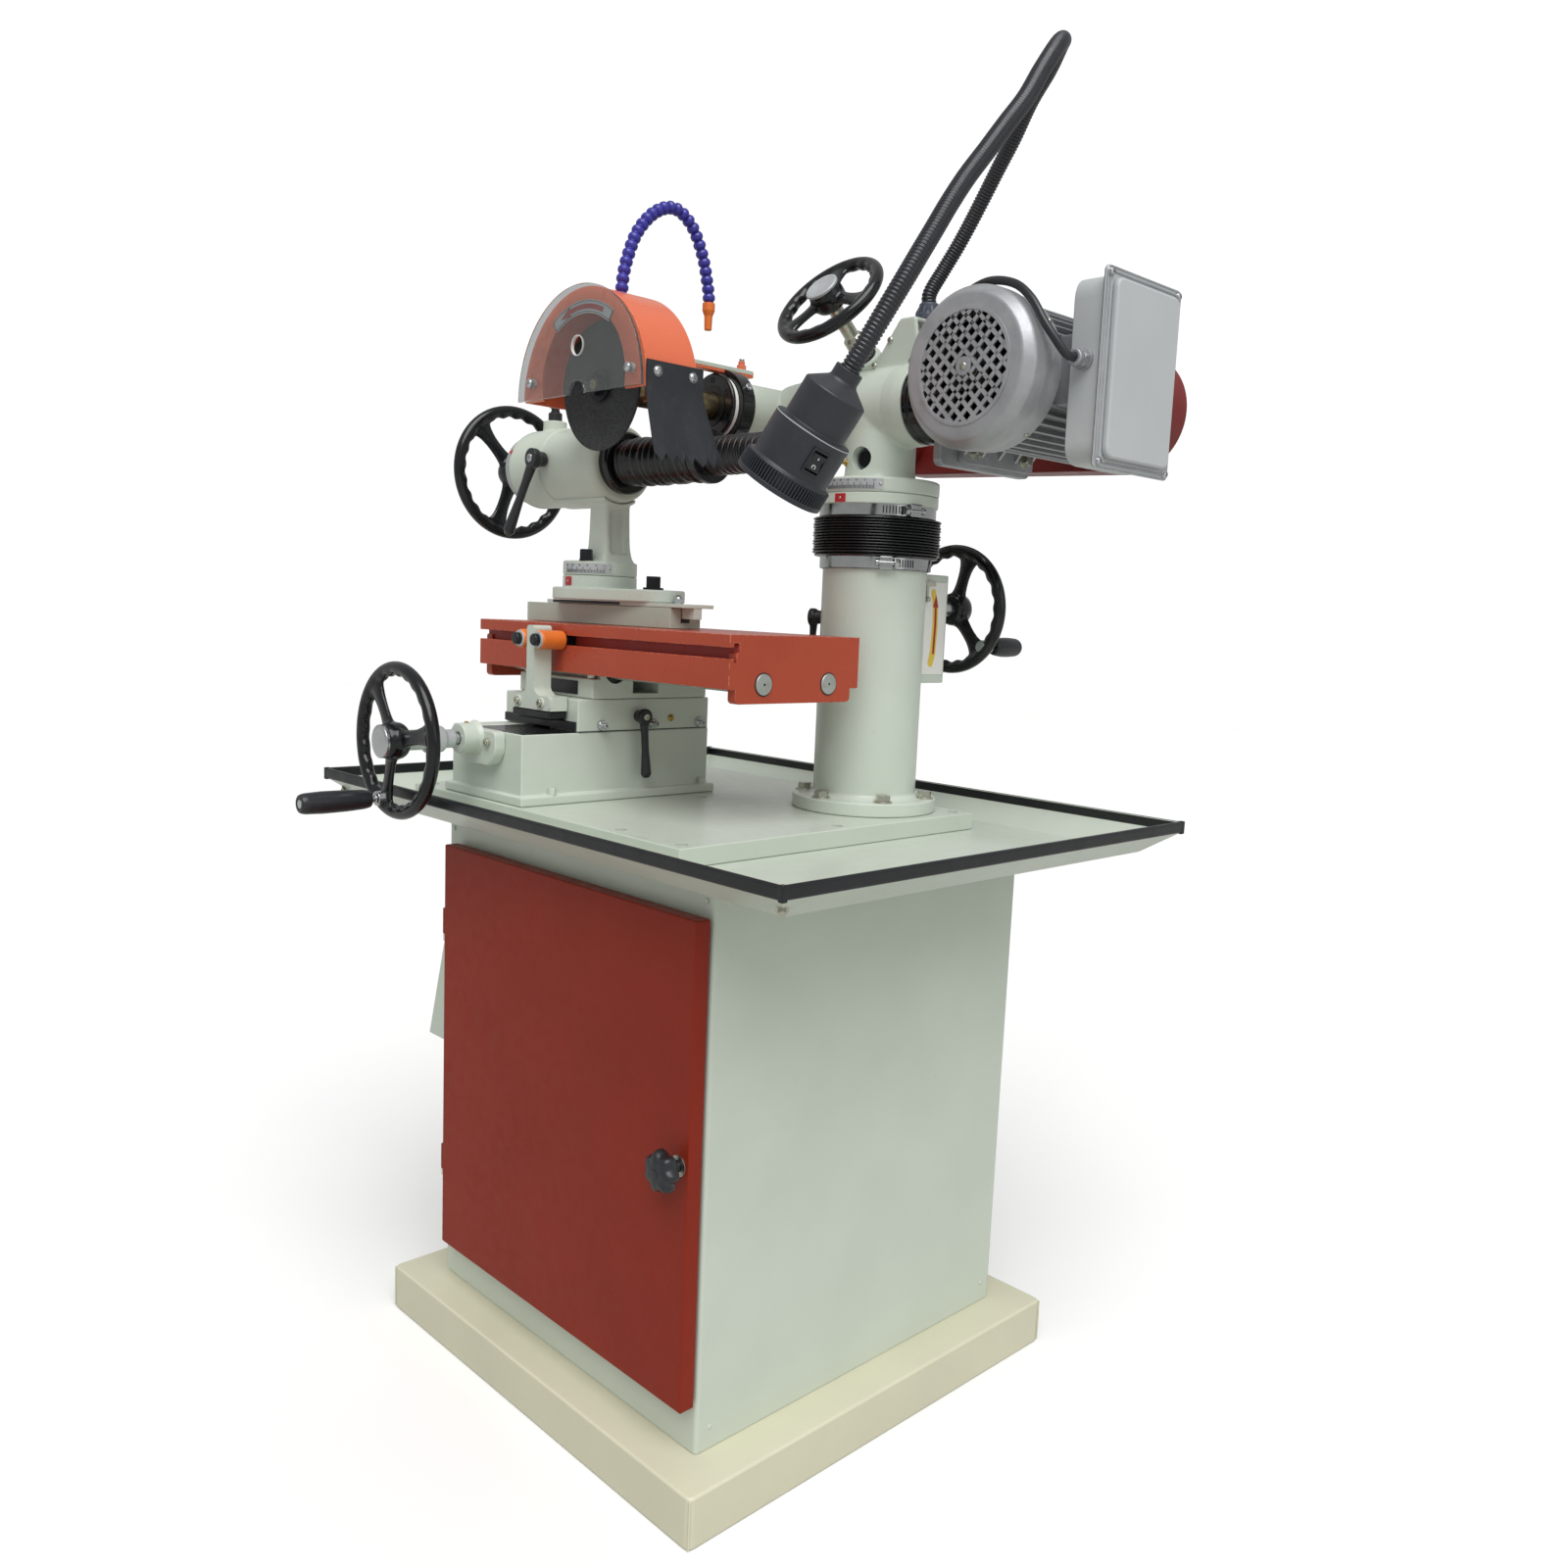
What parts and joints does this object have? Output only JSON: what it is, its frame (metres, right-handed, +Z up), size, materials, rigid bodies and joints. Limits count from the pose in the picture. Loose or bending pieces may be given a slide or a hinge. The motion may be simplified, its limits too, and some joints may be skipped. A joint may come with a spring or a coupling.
{
  "type": "saw_blade_sharpening_machine",
  "caption": "Saw blade sharpening machine on a cabinet stand: tilting grinding head on a column, cross slide, work table and swivelling blade arm",
  "frame": {"origin": "Centre of the plinth's underside, on the floor below the cabinet's middle", "axes": "X along the work table, left to right seen from the door side; Y away from the door; Z up"},
  "size_m": [0.9543, 0.974, 1.6676],
  "materials": {
    "mint_paint": "satin paint",
    "cream_paint": "satin paint",
    "dark_red_paint": "gloss paint",
    "table_red_paint": "gloss paint",
    "guard_orange_paint": "gloss paint",
    "black_rubber": "matt",
    "black_paint": "gloss paint",
    "black_plastic": "gloss",
    "black_oxide": "blackened",
    "bright_steel": "ground",
    "silver_paint": "satin silver paint",
    "grey_paint": "satin paint",
    "orange_plastic": "matt",
    "blue_plastic": "satin",
    "bronze": "turned",
    "abrasive": "gritty",
    "clear_plastic": "clear",
    "woven_belt": "matt"
  },
  "bodies": {
    "base": {"plinth_pan": "cream_paint", "cabinet_shell": "mint_paint", "side_hood": "mint_paint", "tray_pan": "mint_paint", "tray_trim": "black_rubber", "bed_plate": "mint_paint", "column_tube": "mint_paint", "cross_base": "mint_paint", "lift_gearbox": "mint_paint", "column_bellows": "black_rubber"},
    "door": {"door_panel": "dark_red_paint"},
    "door_latch": {"door_knob": "black_plastic"},
    "cross_slide": {"saddle": "mint_paint", "guide_housing": "mint_paint", "stop_bracket": "mint_paint"},
    "saddle_clamp": {"saddle_lever": "black_oxide"},
    "cross_wheel": {"cross_handwheel": "black_paint"},
    "cross_wheel_grip": {"cross_grip": "black_plastic"},
    "table": {"work_table": "table_red_paint", "front_guide_shaft": "bright_steel", "back_guide_shaft": "bright_steel", "table_rails": "bright_steel"},
    "stop_left": {"left_stop": "orange_plastic"},
    "stop_right": {"right_stop": "orange_plastic"},
    "post_slider": {"post_slide_plate": "bright_steel", "swivel_plate": "mint_paint", "swivel_bolt": "black_oxide"},
    "arm_unit": {"post_casting": "mint_paint", "arm_barrel": "mint_paint", "arm_bellows": "black_rubber"},
    "arm_spindle": {"arm_shaft": "black_oxide"},
    "arm_wheel": {"arm_handwheel": "black_paint"},
    "arm_clamp": {"arm_lever": "black_oxide"},
    "plunger": {"index_plunger": "black_oxide"},
    "lift": {"lift_quill": "mint_paint"},
    "lift_wheel": {"lift_handwheel": "black_paint"},
    "lift_wheel_grip": {"lift_grip": "black_plastic"},
    "column_clamp": {"column_lever": "black_oxide"},
    "head": {"head_casting": "mint_paint", "conduit_gland": "grey_paint", "lamp_conduit": "black_plastic", "lamp_body": "black_plastic"},
    "switch": {"lamp_switch": "black_plastic"},
    "tilt_wheel": {"tilt_handwheel": "black_paint"},
    "tilt_unit": {"tilt_shaft": "bright_steel", "spindle_housing": "mint_paint", "motor_body": "silver_paint", "fan_cover": "silver_paint", "terminal_box": "grey_paint", "motor_cable": "black_rubber", "belt_guard": "dark_red_paint", "drive_belt": "woven_belt"},
    "motor_shaft": {"motor_rotor": "bright_steel"},
    "wheel_spindle": {"spindle": "bronze", "grinding_wheel": "abrasive"},
    "wheel_guard": {"guard_hood": "guard_orange_paint", "guard_window": "clear_plastic", "splash_flap": "black_rubber", "coolant_hose": "blue_plastic"}
  },
  "joints": [
    {"name": "door_hinge", "type": "hinge", "parent": "base", "child": "door", "pos_m": [-0.2519, -0.2844, 0.4], "axis": [0, 0, -1], "range_deg": [0, 110]},
    {"name": "latch_turn", "type": "hinge", "parent": "door", "child": "door_latch", "pos_m": [0.259, -0.29, 0.408], "axis": [0, 1, 0], "range_deg": [0, 90]},
    {"name": "cross_feed", "type": "slide", "parent": "base", "child": "cross_slide", "axis": [0, 1, 0], "range_m": [-0.02, 0.015]},
    {"name": "cross_wheel_turn", "type": "hinge", "parent": "base", "child": "cross_wheel", "pos_m": [-0.208, -0.384, 0.829], "axis": [0, 1, 0], "range_deg": [-1439, 1079]},
    {"name": "cross_grip_spin", "type": "hinge", "parent": "cross_wheel", "child": "cross_wheel_grip", "pos_m": [-0.236, -0.43, 0.753], "axis": [0, 1, 0], "continuous": true},
    {"name": "saddle_clamp_turn", "type": "hinge", "parent": "cross_slide", "child": "saddle_clamp", "pos_m": [-0.11, -0.074, 0.86], "axis": [1, 0, 0], "range_deg": [-20, 20]},
    {"name": "table_feed", "type": "slide", "parent": "cross_slide", "child": "table", "axis": [1, 0, 0], "range_m": [-0.16, 0.06]},
    {"name": "left_stop_slide", "type": "slide", "parent": "cross_slide", "child": "stop_left", "axis": [1, 0, 0], "range_m": [-0.1, 0]},
    {"name": "right_stop_slide", "type": "slide", "parent": "cross_slide", "child": "stop_right", "axis": [1, 0, 0], "range_m": [0, 0.1]},
    {"name": "post_slide", "type": "slide", "parent": "table", "child": "post_slider", "axis": [1, 0, 0], "range_m": [-0.02, 0.02]},
    {"name": "post_swivel", "type": "hinge", "parent": "post_slider", "child": "arm_unit", "pos_m": [-0.238, -0.057, 1.05], "axis": [0, 0, 1], "range_deg": [-3, 10]},
    {"name": "arm_slide", "type": "slide", "parent": "arm_unit", "child": "arm_spindle", "axis": [1, 0, 0], "range_m": [-0.02, 0.04], "deforming": ["arm_bellows"]},
    {"name": "arm_wheel_turn", "type": "hinge", "parent": "arm_unit", "child": "arm_wheel", "pos_m": [-0.47, -0.057, 1.202], "axis": [1, 0, 0], "range_deg": [-1439, 2879]},
    {"name": "arm_lever_turn", "type": "hinge", "parent": "arm_unit", "child": "arm_clamp", "pos_m": [-0.3, -0.125, 1.207], "axis": [0, 1, 0], "range_deg": [-35, 35]},
    {"name": "plunger_pull", "type": "slide", "parent": "arm_unit", "child": "plunger", "axis": [0, 0, 1], "range_m": [0, 0.008], "stiffness_N_per_m": 500, "springref_m": -0.004},
    {"name": "lift_travel", "type": "slide", "parent": "base", "child": "lift", "axis": [0, 0, 1], "range_m": [-0.02, 0.1], "deforming": ["column_bellows"]},
    {"name": "lift_wheel_turn", "type": "hinge", "parent": "base", "child": "lift_wheel", "pos_m": [0.098, 0.322, 1.023], "axis": [0, 1, 0], "range_deg": [-1439, 7199]},
    {"name": "lift_grip_spin", "type": "hinge", "parent": "lift_wheel", "child": "lift_wheel_grip", "pos_m": [0.15687, 0.362, 0.97183], "axis": [0, 1, 0], "continuous": true},
    {"name": "column_clamp_turn", "type": "hinge", "parent": "base", "child": "column_clamp", "pos_m": [0.03378, 0.12241, 1.004], "axis": [-0.9135, -0.4067, 0], "range_deg": [-40, 40]},
    {"name": "head_swivel", "type": "hinge", "parent": "lift", "child": "head", "pos_m": [0.098, 0.151, 1.17], "axis": [0, 0, 1], "range_deg": [-5, 22]},
    {"name": "lamp_rocker", "type": "hinge", "parent": "head", "child": "switch", "pos_m": [0.41792, -0.29191, 1.14797], "axis": [-0.2204, -0.9144, 0.3396], "range_deg": [-6, 6]},
    {"name": "tilt_wheel_turn", "type": "hinge", "parent": "head", "child": "tilt_wheel", "pos_m": [0.04, 0.09999, 1.41779], "axis": [0, -0.766, 0.6428], "range_deg": [-599, 199]},
    {"name": "head_tilt", "type": "hinge", "parent": "head", "child": "tilt_unit", "pos_m": [0, 0.151, 1.281], "axis": [1, 0, 0], "range_deg": [-15, 5]},
    {"name": "motor_turn", "type": "hinge", "parent": "tilt_unit", "child": "motor_shaft", "pos_m": [0.3, 0.2, 1.302], "axis": [0, 1, 0], "continuous": true},
    {"name": "spindle_turn", "type": "hinge", "parent": "tilt_unit", "child": "wheel_spindle", "pos_m": [-0.091, 0, 1.281], "axis": [0, 1, 0], "continuous": true},
    {"name": "guard_swing", "type": "hinge", "parent": "tilt_unit", "child": "wheel_guard", "pos_m": [-0.091, 0.039, 1.281], "axis": [0, 1, 0], "range_deg": [-20, 20]}
  ],
  "couplings": [
    {"joint": "cross_feed", "follows": "cross_wheel_turn", "m_per_rad": 0.00079577},
    {"joint": "arm_slide", "follows": "arm_wheel_turn", "m_per_rad": 0.00079577},
    {"joint": "lift_travel", "follows": "lift_wheel_turn", "m_per_rad": 0.00079577},
    {"joint": "head_tilt", "follows": "tilt_wheel_turn", "ratio": 0.025},
    {"joint": "spindle_turn", "follows": "motor_turn", "ratio": 1.4062}
  ]
}
